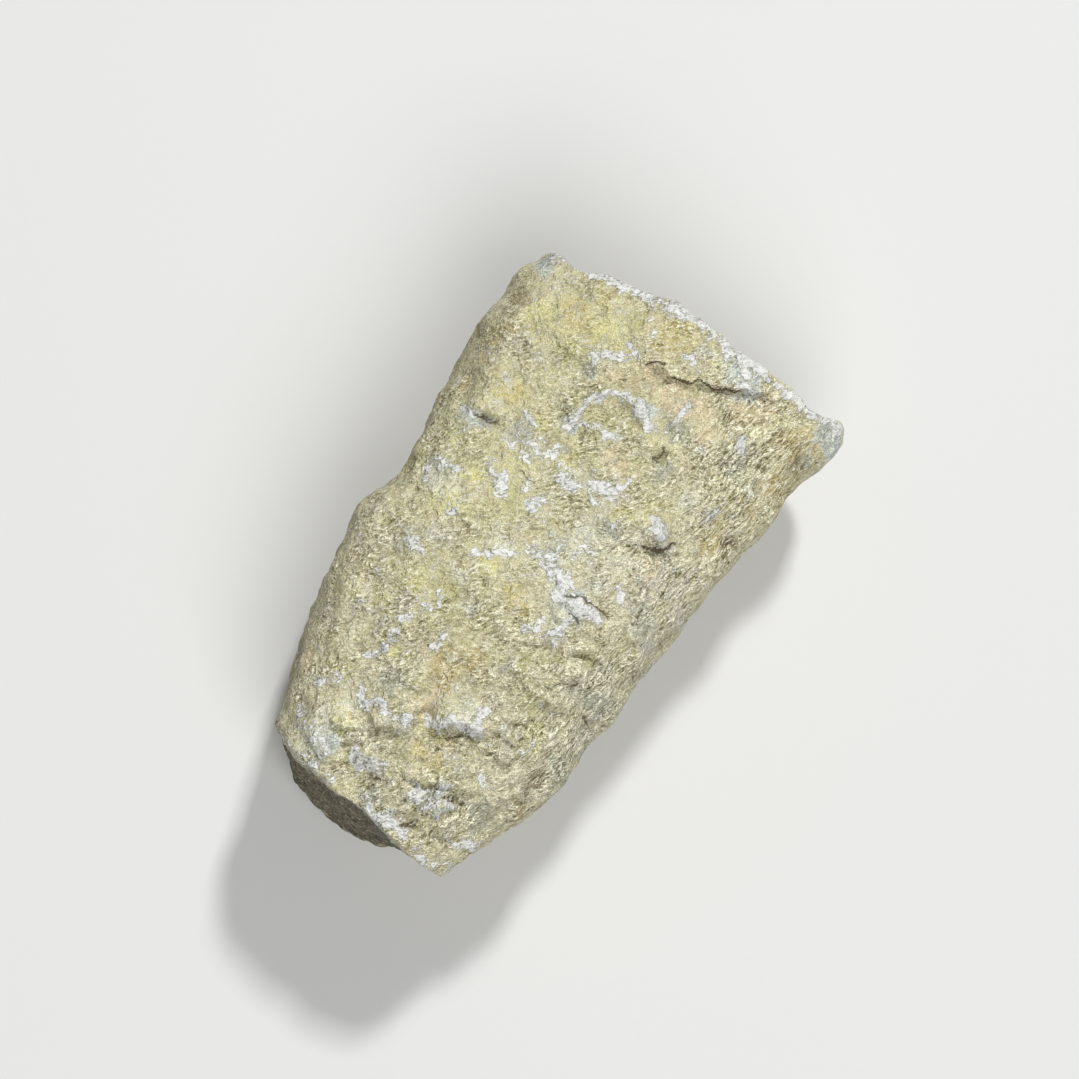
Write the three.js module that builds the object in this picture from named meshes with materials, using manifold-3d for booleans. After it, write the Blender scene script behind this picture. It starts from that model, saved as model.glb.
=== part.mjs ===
// Crinoid fossil in its stone: one short block of weathered limestone, lying on its rounded back.
// The block tapers along its length and is broken straight across at both ends. Its upper face is a
// low dome with thin plates broken away in ledges, low ridges, creases, pits and a ring-shaped scar.
// Frame: millimetres, +X along the block to its wide end, +Y to its left side, +Z up. The origin is
// under the middle of the bounding box, on the surface that the block rests on.
import * as THREE from "three";
import { SimplifyModifier } from "three/addons/modifiers/SimplifyModifier.js";
import { mergeVertices } from "three/addons/utils/BufferGeometryUtils.js";
import Module from "manifold-3d";

// Rows of facets along the block, across it and down its sides, before the smooth areas are thinned.
const facets = { along: 180, across: 90, down: 48 };
const keptPoints = 4800; // surface points left after thinning

// The outline from above, as [x, y] points along each long side and [y, x] points along each end.
const leftSide = [
  [-26, 11.3], [-23.7, 12], [-16.9, 13.9], [-12.1, 15.1], [-6.1, 16.2], [-4, 16.5], [-2.4, 16.2],
  [-0.8, 15.5], [2.5, 15.2], [9.5, 15.8], [16.4, 16.4], [18.8, 15.9], [21.5, 16], [24, 15],
];
const rightSide = [
  [-26.6, -6.2], [-24, -7.7], [-20.7, -9.1], [-17, -10.5], [-14.6, -10.9], [-11, -10.9], [-8.5, -11.6],
  [-3, -11.8], [1, -12.4], [7, -12.9], [14.5, -14.1], [18.4, -14.2], [22, -15.4], [25.1, -15.2],
];
const narrowEnd = [[-6.2, -26.6], [-4.2, -26.5], [-2.6, -26.4], [0, -25.7], [5.2, -25.1], [9, -24.4], [12, -23.3]];
const wideEnd = [
  [-15.2, 25.3], [-12.8, 24.3], [-7.4, 24.2], [-3.1, 24.4], [0.2, 24.9], [3.4, 24.7], [6.3, 24.2],
  [10.2, 23.6], [11.5, 23.1], [12.7, 23.5], [15, 24.3],
];

// The section across the block: how far the upper face rises over the widest level and how far the
// back drops under it, as [x, height] points, and how square each quarter of the section is.
const section = {
  waist: 10.4,
  rise: [[-26, 6.5], [-10, 8.4], [5, 9], [25, 8]],
  drop: [[-26, 8.8], [-12, 10.6], [2, 11.3], [16, 11], [25, 9.4]],
  leftPower: 3.4,
  rightPower: 2.4,
  backPower: 2.25,
  keel: [[-26, 3.2], [-5, 1.2], [25, -1]], // sideways shift of the lowest line
};
const footHeight = -0.25; // the back is worn flat at this height, before the block is set on its foot
// How far each end's face runs outward per mm under its rim, as [y, share] points.
const narrowEndLean = [[-6, -0.2], [-2.7, -0.09], [-0.2, 0.045], [5.5, 0.05], [8.1, 0.03], [10.4, -0.03], [12, -0.15]];
const wideEndLean = [[-15, -0.03], [-8, -0.09], [15, -0.09]];

// Relief on the upper face. A ledge stands up on the left of its line and dies away over its reach.
const ledgeEdge = 0.5; // half the width of a ledge's broken edge
const ledges = [
  { line: [[19.7, 2], [19.1, 0.3], [19.6, -1.6], [20.4, -3.4], [21, -4.9], [21.9, -7]], rise: 1, reach: 6 }, // end plate
  { line: [[16.3, 8.4], [16.2, 5.6], [16.5, 3], [18.7, 0.2]], rise: 0.45, reach: 5 },
  { line: [[-18.3, 6.2], [-18.8, 4.3], [-17.6, 2.1]], rise: 0.6, reach: 2.6 },
  { line: [[-16.8, 2], [-16.5, 0.4], [-15.2, -1], [-15.1, -3.6]], rise: 0.65, reach: 3.2 },
  { line: [[-3.6, -2.2], [-3, -4.2], [-1.9, -6.2]], rise: 0.5, reach: 3 },
  { line: [[-7.6, -0.6], [-5.9, -2.6], [-5.2, -4.6], [-4, -7.4]], rise: 0.45, reach: 2.4 },
  { line: [[-9.6, -1], [-8.8, -3.4], [-7.5, -5.8], [-5.8, -7.4]], rise: 0.4, reach: 2.2 },
  { line: [[-21.4, 1.8], [-20.9, -0.4], [-20.2, -2.4], [-18.6, -5]], rise: 0.5, reach: 2.6 },
];
// A ridge is a low rib of its width along its line, and a negative rise makes it a crease.
const ridges = [
  { line: [[10.3, 5.2], [12.6, 4.9], [14.6, 4], [15.8, 2.4], [15.3, 0.9], [14.1, -0.9]], rise: 0.5, width: 0.7 }, // ring scar
  { line: [[11.5, 4], [12, 2.6], [11.5, 1.1]], rise: 0.35, width: 0.7 },
  { line: [[18.3, -2.8], [16.7, -2.4], [15.4, -1.9]], rise: 0.4, width: 0.7 },
  { line: [[-0.1, 0.8], [-0.6, -1.6], [-1.7, -3], [-1.6, -5.4]], rise: 0.45, width: 1 },
  { line: [[-6, -0.8], [-4.8, -2.4], [-3, -4]], rise: 0.35, width: 0.8 },
  { line: [[-20.8, 11], [-22, 9.4], [-22.7, 7.6], [-23.4, 6]], rise: 0.6, width: 0.9 },
  { line: [[-20.6, 8.4], [-21.9, 6.6], [-22.7, 4.4], [-23.4, 2.4]], rise: -0.6, width: 0.9 },
  { line: [[20.9, 14.2], [16.6, 13.4], [14.9, 13.6], [8.8, 12.6], [1, 13]], rise: 0.4, width: 1.1 }, // left arris
  { line: [[7.4, 14], [7.5, 11.8], [7.8, 10]], rise: -0.5, width: 0.7 },
  { line: [[4.5, -4], [5.4, -6.2], [6.3, -7.4], [7.8, -8.4]], rise: -0.5, width: 0.8 },
  { line: [[-8.8, -3.6], [-9.3, -5.4], [-9.6, -7]], rise: 0.35, width: 0.7 },
];
// A lump stands up, and one with a negative rise is a pit.
const lumps = [
  { at: [7.2, -6.3], rise: 0.7, radius: 1.2 },
  { at: [12.9, -2.6], rise: -0.8, radius: 0.9 },
  { at: [13, -1], rise: 0.4, radius: 1.1 },
  { at: [-8.9, -9.3], rise: -0.6, radius: 1.4 },
  { at: [10.3, -12], rise: -0.4, radius: 1.1 },
  { at: [-4.9, 10.7], rise: 0.45, radius: 1.2 },
  { at: [-5.8, 11.8], rise: -0.4, radius: 1 },
  { at: [-21.4, 4.6], rise: 0.5, radius: 1.2 },
  { at: [-22.2, 2.8], rise: -0.6, radius: 1 },
  { at: [-21.7, -2.8], rise: 0.5, radius: 1.3 },
  { at: [-20.5, -3.9], rise: -0.5, radius: 0.9 },
  { at: [-24.4, -1.4], rise: -0.6, radius: 0.9 },
  { at: [-14, -6.5], rise: 0.35, radius: 1.2 },
];
// Waves of rough stone, by wavelength: their height on the upper face, waist, back and broken ends.
const roughness = [
  { wave: 9.5, front: 0.22, waist: 0.1, back: 0.5, ends: 0.25, seed: 1 },
  { wave: 4.4, front: 0.22, waist: 0.12, back: 0.3, ends: 0.2, seed: 5 },
  { wave: 2.3, front: 0.1, waist: 0.07, back: 0.1, ends: 0.1, seed: 9 },
];

const lerp = THREE.MathUtils.lerp;
const smoothstep = THREE.MathUtils.smoothstep;

// The value at t of a smooth curve through the knots, which is level beyond them.
function along(knots, t) {
  const last = knots.length - 1;
  if (t <= knots[0][0]) return knots[0][1];
  if (t >= knots[last][0]) return knots[last][1];
  const i = knots.findIndex((knot) => knot[0] > t) - 1;
  const slope = (j) => {
    const [a, b] = [knots[Math.max(j - 1, 0)], knots[Math.min(j + 1, last)]];
    return (b[1] - a[1]) / (b[0] - a[0]);
  };
  const [[t0, y0], [t1, y1]] = [knots[i], knots[i + 1]];
  const span = t1 - t0;
  const f = (t - t0) / span;
  return (
    y0 * (2 * f ** 3 - 3 * f ** 2 + 1) + slope(i) * span * (f ** 3 - 2 * f ** 2 + f) +
    y1 * (3 * f ** 2 - 2 * f ** 3) + slope(i + 1) * span * (f ** 3 - f ** 2)
  );
}

// Nearest place on a line to (x, y): its distance, negative on the right of the line, and a factor
// that fades to nothing at the two ends of the line.
function nearLine(line, x, y) {
  const lengths = line.slice(1).map((b, i) => Math.hypot(b[0] - line[i][0], b[1] - line[i][1]));
  const total = lengths.reduce((sum, length) => sum + length, 0);
  let best = { distance: Infinity };
  let walked = 0;
  for (let i = 0; i < lengths.length; i++) {
    const [[ax, ay], [bx, by]] = [line[i], line[i + 1]];
    const [dx, dy] = [(bx - ax) / lengths[i], (by - ay) / lengths[i]];
    const f = THREE.MathUtils.clamp((x - ax) * dx + (y - ay) * dy, 0, lengths[i]);
    const [ox, oy] = [x - ax - f * dx, y - ay - f * dy];
    const distance = Math.hypot(ox, oy);
    if (distance < best.distance) {
      const share = (walked + f) / total;
      const side = Math.sign(dx * oy - dy * ox);
      best = { distance, side, fade: smoothstep(Math.min(share, 1 - share), 0, 0.2) };
    }
    walked += lengths[i];
  }
  return best;
}

// Height that the ledges, ridges, lumps and pits add to the upper face at (x, y).
function relief(x, y) {
  let height = 0;
  for (const { line, rise, reach } of ledges) {
    const { distance, side, fade } = nearLine(line, x, y);
    const step = smoothstep(side * distance, -ledgeEdge, ledgeEdge);
    height += rise * fade * step * Math.exp(-distance / reach);
  }
  for (const { line, rise, width } of ridges) {
    const { distance, fade } = nearLine(line, x, y);
    height += rise * fade * Math.exp(-((distance / width) ** 2));
  }
  for (const { at, rise, radius } of lumps) {
    height += rise * Math.exp(-((x - at[0]) ** 2 + (y - at[1]) ** 2) / radius ** 2);
  }
  return height;
}

// A sum of plane waves in seven directions, about -1 to 1.
function swell(point, wave, seed) {
  const waves = 7;
  const goldenAngle = 2.4;
  let sum = 0;
  for (let i = 0; i < waves; i++) {
    const up = 1 - (2 * i + 1) / waves;
    const flat = Math.sqrt(1 - up * up);
    const turn = seed + i * goldenAngle;
    const number = ((2 * Math.PI) / wave) * (0.75 + 0.5 * ((seed * 0.37 + i * 0.618) % 1));
    const phase = number * (flat * Math.cos(turn) * point.x + flat * Math.sin(turn) * point.y + up * point.z);
    sum += Math.sin(phase + seed * 1.7 + i * i);
  }
  return sum / Math.sqrt(2 * waves);
}

// Moves a point of a cube that runs from -1 to 1 on each axis onto the stone.
function onStone(u, v, w) {
  // The cube's section is a square; as a disc it has a direction and a share of the way out.
  const across = v * Math.sqrt(1 - (w * w) / 2);
  const up = w * Math.sqrt(1 - (v * v) / 2);
  const share = Math.hypot(across, up);
  const [c, s] = share > 0 ? [across / share, up / share] : [1, 0];
  const power = up < 0 ? section.backPower : across > 0 ? section.leftPower : section.rightPower;
  const reach = (Math.abs(c) ** power + Math.abs(s) ** power) ** (-1 / power);
  const [p, q] = [share * reach * c, share * reach * s];

  // Place in the outline, found by going back and forth between the sides and the ends.
  const f = (u + 1) / 2;
  let [x, y] = [lerp(-25, 24.5, f), 0];
  let half = 1;
  for (let i = 0; i < 5; i++) {
    const [left, right] = [along(leftSide, x), along(rightSide, x)];
    half = (left - right) / 2;
    y = (left + right) / 2 + p * half + along(section.keel, x) * Math.max(-q, 0);
    x = lerp(along(narrowEnd, y), along(wideEnd, y), f);
  }
  const height = q > 0 ? along(section.rise, x) : along(section.drop, x);
  const point = new THREE.Vector3(x, y, section.waist + q * height);
  const under = section.waist + along(section.rise, x) - point.z;
  point.x += under * (along(wideEndLean, y) * f - along(narrowEndLean, y) * (1 - f));

  // Rough stone, moved along the surface's own direction.
  const outward = new THREE.Vector3(0, Math.sign(p) * Math.abs(p) ** (power - 1) / half, Math.sign(q) * Math.abs(q) ** (power - 1) / height);
  outward.normalize().multiplyScalar(smoothstep(share, 0.8, 1));
  outward.x = Math.sign(u) * smoothstep(Math.abs(u), 0.94, 1);
  outward.normalize();
  const onEnd = Math.abs(outward.x);
  const frontShare = smoothstep(q, 0.1, 0.6);
  const backShare = smoothstep(-q, 0.05, 0.5);
  let rough = 0;
  for (const { wave, front, waist, back, ends, seed } of roughness) {
    const side = lerp(lerp(waist, front, frontShare), back, backShare);
    rough += lerp(side, ends, onEnd) * swell(point, wave, seed);
  }
  point.addScaledVector(outward, rough);
  point.z += relief(x, y) * smoothstep(q, 0.15, 0.55) * smoothstep(share, 0.5, 1);
  return point;
}

// The whole surface as one closed shell, thinned to few facets where it is smooth.
async function stoneShell() {
  const box = new THREE.BoxGeometry(2, 2, 2, facets.along, facets.across, facets.down);
  box.deleteAttribute("normal");
  box.deleteAttribute("uv");
  const shell = mergeVertices(box, 1e-4);
  const position = shell.getAttribute("position");
  for (let i = 0; i < position.count; i++) {
    const { x, y, z } = onStone(position.getX(i), position.getY(i), position.getZ(i));
    position.setXYZ(i, x, y, z);
  }
  return new SimplifyModifier().modify(shell, position.count - keptPoints);
}

// The shell cut flat at its foot, and set down on it under the origin.
async function stoneGeometry() {
  const shell = await stoneShell();
  const kit = await Module();
  kit.setup();
  const solid = new kit.Manifold(new kit.Mesh({
    numProp: 3,
    vertProperties: shell.getAttribute("position").array,
    triVerts: new Uint32Array(shell.index.array),
  }));
  const cut = solid.trimByPlane([0, 0, 1], footHeight).getMesh();
  const geometry = new THREE.BufferGeometry();
  geometry.setAttribute("position", new THREE.BufferAttribute(cut.vertProperties, 3));
  geometry.setIndex(new THREE.BufferAttribute(cut.triVerts, 1));
  geometry.computeBoundingBox();
  const middle = geometry.boundingBox.getCenter(new THREE.Vector3());
  geometry.translate(-middle.x, -middle.y, -footHeight);
  geometry.computeVertexNormals();
  return geometry;
}

const limestone = new THREE.MeshStandardMaterial({ color: 0xbdb89b, roughness: 0.95, metalness: 0 });
const fossil = new THREE.Mesh(await stoneGeometry(), limestone);
fossil.name = "crinoid_fossil";

const group = new THREE.Group();
group.add(fossil);
export default group;
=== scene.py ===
import math

import bmesh
import bpy
import numpy as np
from mathutils import Matrix, Vector, noise


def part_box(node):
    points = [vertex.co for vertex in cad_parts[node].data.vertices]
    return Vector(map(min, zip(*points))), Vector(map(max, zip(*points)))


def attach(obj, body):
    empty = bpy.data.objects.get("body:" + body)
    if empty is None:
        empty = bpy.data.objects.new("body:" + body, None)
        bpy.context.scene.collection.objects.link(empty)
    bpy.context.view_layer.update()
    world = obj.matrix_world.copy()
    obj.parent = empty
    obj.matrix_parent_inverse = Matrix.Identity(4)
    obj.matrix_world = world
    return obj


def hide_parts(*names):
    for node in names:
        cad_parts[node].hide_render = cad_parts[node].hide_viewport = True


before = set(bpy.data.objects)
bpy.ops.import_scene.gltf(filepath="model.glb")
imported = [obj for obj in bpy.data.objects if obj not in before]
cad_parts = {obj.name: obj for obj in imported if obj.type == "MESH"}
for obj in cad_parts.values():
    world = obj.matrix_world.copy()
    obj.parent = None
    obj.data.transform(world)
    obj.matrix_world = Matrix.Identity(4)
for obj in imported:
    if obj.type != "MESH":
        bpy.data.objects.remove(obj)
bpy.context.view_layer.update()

mm = 0.001

# sizes in mm: x runs along the stone to its wide end, y to its left side and z up
stone = {
    "facets": (226, 120, 66),  # rows along the block, across it and down its sides
    "form": {
        "endsNear": (-25, 24.5),  # roughly where the ends lie, to start from
        # places along the stone or across it, and the value there
        "leftSide": [(-26, 11.3), (-23.7, 12), (-16.9, 13.9), (-12.1, 15.1), (-6.1, 16.2), (-4, 16.5),
                     (-2.4, 16.2), (-0.8, 15.5), (2.5, 15.2), (9.5, 15.8), (16.4, 16.4), (18.8, 15.9),
                     (21.5, 16), (24, 15)],
        "rightSide": [(-26.6, -6.2), (-24, -7.7), (-20.7, -9.1), (-17, -10.5), (-14.6, -10.9), (-11, -10.9),
                      (-8.5, -11.6), (-3, -11.8), (1, -12.4), (7, -12.9), (14.5, -14.1), (18.4, -14.2),
                      (22, -15.4), (24.3, -15.7), (25.4, -15.1)],
        "narrowEnd": [(-6.2, -26.6), (-4.2, -26.5), (-2.6, -26.4), (0, -25.7), (5.2, -25.1), (9, -24.4),
                      (12, -23.3)],
        "wideEnd": [(-15.6, 25.1), (-14.6, 25.3), (-12.8, 24.4), (-7.4, 24.2), (-3.1, 24.4), (0.2, 24.9),
                    (3.4, 24.7), (6.3, 24.2), (10.2, 23.6), (11.5, 23.1), (12.7, 23.5), (15, 24.3)],
        "waist": 10.4,  # height of the widest level
        "rise": [(-26, 6.5), (-10, 8.4), (5, 9), (25, 8)],  # upper face over the waist
        "drop": [(-26, 8.8), (-12, 10.6), (2, 11.3), (16, 11), (25, 9.4)],  # back under it
        "keel": [(-26, 3.2), (-5, 1.2), (25, -1)],  # sideways shift of the lowest line
        "leftPower": 3.4,  # how square each quarter of the section is
        "rightPower": 2.4,
        "backPower": 2.25,
        "footHeight": -0.25,
        # how far each end leans out for each mm under the upper face
        "narrowEndLean": [(-6, -0.2), (-2.7, -0.09), (-0.2, 0.045), (5.5, 0.05), (8.1, 0.03), (10.4, -0.03),
                          (12, -0.15)],
        "wideEndLean": [(-15, -0.03), (-8, -0.09), (15, -0.09)],
        # wavelength, then height on the upper face, waist, back and ends, then seed
        "roughness": [(9.5, 0.22, 0.1, 0.5, 0.25, 1), (4.4, 0.22, 0.12, 0.3, 0.2, 5),
                      (2.3, 0.1, 0.07, 0.1, 0.1, 9)],
    },
    "relief": {
        "wander": (0.28, 1.3),  # how far lines stray, and over what length
        "strength": 1.25,
        # a ledge stands up on the left of its line and dies away over its reach:
        # line, rise, reach, half the width of its edge
        "ledges": [
            ([(17.4, 14), (16.6, 9.5), (16.2, 6.6), (16.8, 4.2), (18.4, 2.4), (19, 0.6),
              (19.4, -1.2)], 0.4, 6, 0.7),
            ([(18.6, 3.4), (19.3, 1.8), (19.1, 0.3), (19.6, -1.6), (20.4, -3.4), (21, -4.9), (22, -7),
              (22.8, -9.5)], 0.65, 5, 0.25),
            ([(-18.3, 6.2), (-18.8, 4.3), (-17.6, 2.1)], 0.7, 2.4, 0.18),
            ([(-16.8, 2), (-16.5, 0.4), (-15.2, -1), (-15.1, -3.6)], 0.75, 3, 0.18),
            ([(-3.6, -2.2), (-3, -4.2), (-1.9, -6.2)], 0.5, 3, 0.25),
            ([(-7.6, -0.6), (-5.9, -2.6), (-5.2, -4.6), (-4, -7.4)], 0.45, 2.4, 0.25),
            ([(-9.6, -1), (-8.8, -3.4), (-7.5, -5.8), (-5.8, -7.4)], 0.5, 2.2, 0.2),
            ([(-21.4, 1.8), (-20.9, -0.4), (-20.2, -2.4), (-18.6, -5)], 0.65, 2.4, 0.2),
            ([(-10, -6.6), (-9.2, -5.6), (-9.3, -4.2), (-8.7, -3.2), (-7.7, -1.9)], 0.5, 2.2, 0.2),
            ([(-11.9, -0.5), (-10.6, -1.2), (-10.2, -0.4), (-10.3, 0.9)], 0.4, 1.6, 0.2),
            ([(-12.7, -7), (-12.9, -5.3), (-13.7, -4.3), (-15.2, -3.6)], 0.4, 1.6, 0.2),
        ],
        # a ridge is a low rib along its line, and a crease where its rise is negative: line, rise, width
        "ridges": [
            ([(10.3, 5.2), (12.6, 4.9), (14.6, 4), (15.8, 2.4), (15.3, 0.9), (14.1, -0.9)], 0.5, 0.7),
            ([(11.5, 4), (12, 2.6), (11.5, 1.1)], 0.35, 0.7),
            ([(18.3, -2.8), (16.7, -2.4), (15.4, -1.9)], 0.4, 0.7),
            ([(-0.1, 0.8), (-0.6, -1.6), (-1.7, -3), (-1.6, -5.4)], 0.45, 1),
            ([(-6, -0.8), (-4.8, -2.4), (-3, -4)], 0.35, 0.8),
            ([(-20.8, 11), (-22, 9.4), (-22.7, 7.6), (-23.4, 6)], 0.6, 0.9),
            ([(-20.6, 8.4), (-21.9, 6.6), (-22.7, 4.4), (-23.4, 2.4)], -0.6, 0.9),
            ([(20.9, 14.2), (16.6, 13.4), (14.9, 13.6), (8.8, 12.6), (1, 13)], 0.4, 1.1),
            ([(7.4, 14), (7.5, 11.8), (7.8, 10)], -0.5, 0.7),
            ([(4.5, -4), (5.4, -6.2), (6.3, -7.4), (7.8, -8.4)], -0.35, 0.7),
            ([(-8.8, -3.6), (-9.3, -5.4), (-9.6, -7)], 0.35, 0.7),
        ],
        # a lump stands up and a pit goes down: place, rise, radius
        "lumps": [((7.3, -6), 0.9, 1.1), ((5.9, -6.9), -0.5, 0.8), ((12.9, -2.8), -0.8, 0.7),
                  ((13.2, -1.5), 0.6, 0.8), ((-8.9, -9.3), -0.6, 1.4), ((10.3, -12), -0.4, 1.1),
                  ((-4.9, 10.7), 0.45, 1.2), ((-5.8, 11.8), -0.4, 1), ((-21.4, 4.6), 0.5, 1.2),
                  ((-22.2, 2.8), -0.6, 1), ((-21.7, -2.8), 0.5, 1.3), ((-20.5, -3.9), -0.5, 0.9),
                  ((-24.4, -1.4), -0.6, 0.9), ((-14, -6.5), 0.35, 1.2), ((0.4, 11), 0.4, 1.8),
                  ((-15.2, 2.3), -0.3, 1.8)],
    },
    "weathering": {
        # wavelength, height, kind of noise, its octaves and its shift
        "swells": (3.2, 0.07, "ridged", 3, 0),
        "lumps": (1.6, 0.065, "fractal", 3, 21),
        "crumbs": (0.8, 0.09, "fractal", 2, 70),
        "wrinkles": (0.8, 0.09, "ridged", 3, 44),
        "chips": (2.4, 0.075),  # wavelength, height
        "chipSeed": 7,  # draws the way each chip tilts, and isn't 0, which would draw it by the clock
        # thin flakes, one over another, whose edges face along the plan direction
        "flakes": {"spacing": 1.6, "height": 0.5, "facing": (-0.84, -0.54), "wander": 1.3},
        "flakesElsewhere": 0.12,  # share of flakes and wrinkles outside the parts that have them
        "wrinklesElsewhere": 0.3,
        "onSides": 0.6,  # share of the weathering on the sides and ends
        "moreOnFlaky": 0.3,  # how much stronger it is on these
        "moreOnBack": 0.4,
        "footMargin": 0.9,  # height over which it fades out towards the foot
    },
    # how many degrees the grain is turned in plan from the stone's length, and how drawn out it is
    "streaks": {"turn": -12, "stretch": 3.6},
    "lying": {"turn": -50, "stretch": 2.3},
    "parts": {  # place, radius
        "flaky": [((-3.5, -7), 4), ((-9, -6.5), 4.5), ((-16, -5), 4.5), ((-21.5, -3), 4), ((-22, 7), 3),
                  ((-0.5, -7.5), 3), ((-17, 3), 3.5), ((-5, -2), 3)],
        "streaky": [((18, -9), 7), ((11.5, -11), 6), ((4, -10), 5), ((-4.5, -10), 5), ((-12, -8.5), 5),
                    ((-21, -3), 4)],
        "plain": [((19, 11), 3.5), ((20.5, 6), 2.5), ((16.7, -1), 1.8), ((17.3, -4.6), 1.4), ((11, 10), 3),
                  ((6.5, 8), 3), ((3.5, 6), 2.5), ((14.5, -1), 1.5), ((-2, 4), 2), ((0.2, 10.7), 2.6),
                  ((-2, -1), 2), ((-15, 2), 2.2), ((-18.7, 8.5), 1.6), ((-22.8, 9.4), 1.5), ((-5, 8), 2)],
    },
    # white chalky crusts
    "crusts": {
        "rise": 0.05,
        "wander": (0.35, 1.1),
        "onLines": 0.8,  # how thick they are on each of these
        "onSlate": 0.2,
        "onWideEnd": 0.36,
        "ragged": 0.4,
        "thickness": 1.12,
        "patchiness": 0.4,
        # line, width, strength: the weak ones are only scattered flecks, and the wide ones a dusty border
        "lines": [
            ([(10.3, 5), (11.6, 4.8), (12.7, 4.8), (13.9, 4.6), (14.9, 3.8), (15.7, 2.6)], 0.4, 0.95),
            ([(15.7, 2.6), (15.5, 1.3), (14.8, 0.1), (14.2, -0.8)], 0.55, 0.95),
            ([(11.6, 3.8), (11.9, 2.6), (11.6, 1.2)], 0.45, 0.85),
            ([(15.2, -2), (16.7, -2.3), (18.2, -2.6)], 0.4, 0.85),
            ([(8.1, -5.2), (7.6, -5.8), (7.2, -6.6)], 0.5, 1.6),
            ([(17.8, -8.2), (17.6, -8.4)], 0.52, 2),
            ([(7.9, 8.5), (6.5, 7.8), (6.8, 6.6), (7.7, 5.6), (8.6, 4.7)], 0.5, 0.85),
            ([(9.9, 8.8), (9.5, 8.1)], 0.5, 0.85),
            ([(7.1, 3.5), (6.6, 2.8), (6.8, 1.6)], 0.5, 0.8),
            ([(7.6, 0.9), (7.8, -0.4), (8.7, -1.3), (9.7, -1.7)], 0.5, 0.8),
            ([(4.3, 5.1), (3.2, 4.2), (4.5, 3.6)], 0.5, 0.8),
            ([(4.1, 8.8), (4, 8), (3.9, 7.2)], 0.5, 0.75),
            ([(0.7, 12.9), (1.4, 13.1), (2.1, 13), (2.7, 12.5), (2.6, 11.3)], 0.45, 0.85),
            ([(-0.9, 9.5), (-0.4, 9.2)], 0.45, 0.85),
            ([(16.8, 6.4), (17.5, 5.8), (18, 5.1), (18.5, 3.8)], 0.4, 0.85),
            ([(19.8, 4.4), (18.9, 3.5)], 0.4, 0.8),
            ([(21, 0), (21.3, -1), (20.6, -1.7)], 0.5, 0.9),
            ([(23.3, 4.1), (22.4, 4.4), (21.4, 3.4)], 0.5, 0.8),
            ([(23.2, -3.3), (23.2, -4.6), (23, -5.7), (22, -5.6), (22.3, -6.7)], 0.5, 0.5),
            ([(10.3, -8.6), (11.2, -9.1), (12.2, -9.6)], 0.5, 0.7),
            ([(5, -2.5), (6.1, -2.9)], 0.5, 0.7),
            ([(6.4, -0.4), (7.4, -1.2)], 0.5, 0.6),
            ([(7.6, 13.4), (7.3, 11.9)], 0.35, 0.7),
            ([(-4.4, 10.7), (-4.9, 10.1)], 0.6, 1.1),
            ([(-2.8, 6.1), (-1.6, 4.2), (-0.9, 2.6)], 0.4, 0.9),
            ([(0, 2.4), (0.1, 1.2)], 0.5, 0.8),
            ([(2.6, -1.1), (2.9, -2.1), (2.2, -2.8)], 0.5, 0.7),
            ([(1.4, -6.1), (0.5, -6.9)], 0.3, 0.95),
            ([(-0.1, 0.7), (-0.3, -1.5), (-1.9, -2)], 0.75, 0.85),
            ([(-1.9, -2), (-1.6, -3.2), (-1.7, -4.5), (-1.5, -5.3)], 0.65, 1.05),
            ([(-5.9, -0.9), (-4.9, -2.1), (-4.7, -3.2), (-3.2, -3.7), (-2, -4.8)], 0.45, 0.95),
            ([(-5.5, -2.2), (-5.4, -3.7)], 0.35, 0.8),
            ([(-10.4, 8.2), (-9.7, 7.5)], 0.35, 0.9),
            ([(-8.8, 7.5), (-8.4, 6.9)], 0.35, 0.95),
            ([(-11.4, 7.9), (-13.3, 8.1), (-14.2, 8.7)], 0.4, 0.85),
            ([(-11.4, 4.6), (-9.5, 4.1)], 0.35, 1),
            ([(-11.1, 11.9), (-11, 10.8)], 0.5, 0.75),
            ([(-18.2, 11.1), (-17.7, 10.5), (-17.4, 9.6)], 0.5, 0.85),
            ([(-17.1, 7.7), (-18, 7.2), (-17.5, 6), (-18, 4.5), (-17.7, 2.4)], 0.52, 1.05),
            ([(-16.5, 1.7), (-16.4, 0.5), (-15.3, -0.2), (-15.3, -1.1), (-15.3, -2.6),
              (-15.3, -3.2)], 0.55, 1.1),
            ([(-13.3, -1.9), (-14.2, -1.6), (-15.1, -2.8)], 0.3, 0.95),
            ([(-21.3, 5.6), (-22.7, 4.5), (-21.3, 3)], 0.5, 0.9),
            ([(-21.9, 5), (-21.8, 3.9)], 0.7, 1),
            ([(-20.9, 11.2), (-22.3, 10.6), (-22.1, 9.2), (-22.8, 7.6), (-23.9, 7.5)], 0.6, 0.68),
            ([(-21.4, -0.3), (-22.7, -1.5), (-21.9, -2.5), (-21.1, -3.4)], 0.5, 0.9),
            ([(-20, -2.4), (-21.1, -2.4), (-22.4, -3.1)], 0.4, 0.85),
            ([(-18.1, -4.5), (-18.1, -5.4), (-17.4, -6.1)], 0.45, 0.75),
            ([(-23.6, -5.8), (-22.9, -7.2)], 0.5, 0.95),
            ([(-14.2, -6.4), (-13.5, -6.6)], 0.4, 0.9),
            ([(-23.7, 11.9), (-24.2, 10.5), (-24.6, 6.2), (-24.6, 2.9)], 0.4, 0.6),
            ([(-24.6, 2.9), (-25.3, 1.3), (-25.1, 0), (-25.1, -1.3)], 0.6, 0.9),
            ([(-25.4, -3.1), (-26.2, -3.4), (-26, -5.7), (-25, -6.3)], 0.5, 0.8),
            ([(7.6, 8), (7.4, 6.6), (8.6, 4.8)], 1.1, 0.62),
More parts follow.
